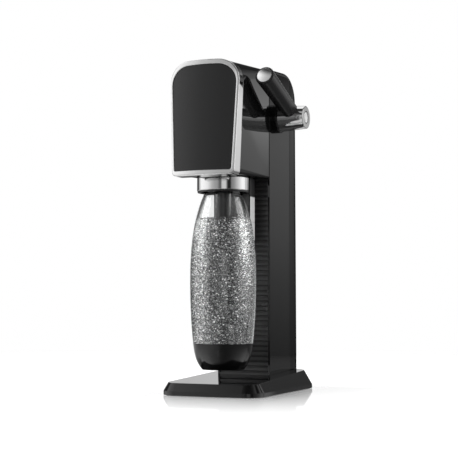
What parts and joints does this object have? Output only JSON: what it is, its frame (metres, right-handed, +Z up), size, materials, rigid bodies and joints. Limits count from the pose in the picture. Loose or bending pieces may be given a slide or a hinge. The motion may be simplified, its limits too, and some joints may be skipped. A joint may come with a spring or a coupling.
{
  "type": "soda carbonator",
  "caption": "Countertop soda carbonator with a pull lever, tilting bottle holder, clear carbonating bottle and a gas cylinder behind a rear cover.",
  "frame": {"origin": "middle of the whole footprint, on the surface that the feet stand on", "axes": "+Z up, +Y to the rear, -Y to the front panel, +X to the lever side"},
  "size_m": [0.1478, 0.2381, 0.43],
  "materials": {
    "gloss_black": "high gloss piano-black moulding",
    "satin_black": "fine satin moulded black plastic",
    "chrome": "bright chrome plating",
    "brushed_silver": "brushed round the ring",
    "rubber": "matt black rubber",
    "clear_plastic": "clear blown plastic",
    "steel": "turned steel",
    "brass": "machined brass",
    "cylinder_grey": "satin grey paint",
    "nylon": "natural nylon"
  },
  "bodies": {
    "stand": {"base_shell": "gloss_black", "base_bottom_plate": "satin_black", "rubber_feet": "rubber", "base_screws": "steel", "column_shell": "gloss_black", "ribbed_front_panel": "satin_black", "chrome_bezel": "chrome", "front_panel": "gloss_black", "head_housing": "gloss_black", "head_underside": "satin_black", "pivot_lugs": "satin_black", "hub_flange": "gloss_black", "shaft_bushes": "nylon", "inner_frame": "satin_black", "valve_body": "brass", "relief_valve": "brass", "gas_tube": "nylon", "gas_cylinder": "cylinder_grey", "cylinder_valve": "brass", "cylinder_seat": "satin_black"},
    "back": {"rear_cover": "gloss_black"},
    "lever": {"lever_barrel": "chrome", "hub_end_cap": "chrome", "lever_grip": "satin_black", "grip_end_cap": "brushed_silver", "lever_shaft": "steel", "lever_cam": "nylon"},
    "plunger": {"valve_plunger": "steel"},
    "holder": {"holder_ring": "satin_black", "collar": "brushed_silver", "collar_lip": "satin_black", "neck_clip": "satin_black", "nozzle_block": "satin_black", "nozzle": "satin_black", "nozzle_tip": "satin_black", "bottle_seal": "rubber", "pivot_pins": "steel", "holder_arm": "chrome", "arm_shoe": "chrome"},
    "flask": {"bottle": "clear_plastic", "bottle_cup": "gloss_black"}
  },
  "joints": [
    {"name": "lever_pull", "type": "hinge", "parent": "stand", "child": "lever", "pos_m": [-0.00627, 0.03916, 0.3611], "axis": [1, 0, 0], "range_deg": [0, 45], "stiffness_Nm_per_rad": 1, "springref_deg": -22.92},
    {"name": "plunger_push", "type": "slide", "parent": "stand", "child": "plunger", "axis": [0, 1, 0], "range_m": [0, 0.00308]},
    {"name": "holder_tilt", "type": "hinge", "parent": "stand", "child": "holder", "pos_m": [-0.00627, -0.03394, 0.2915], "axis": [-1, 0, 0], "range_deg": [0, 14]},
    {"name": "bottle_drop", "type": "slide", "parent": "holder", "child": "flask", "axis": [0, 0, -1], "range_m": [0, 0.01]},
    {"name": "rear_cover_tilt", "type": "hinge", "parent": "stand", "child": "back", "pos_m": [-0.00627, 0.11866, 0.02578], "axis": [-1, 0, 0], "range_deg": [0, 25]}
  ],
  "couplings": [
    {"joint": "plunger_push", "follows": "lever_pull", "m_per_rad": 0.003898}
  ]
}
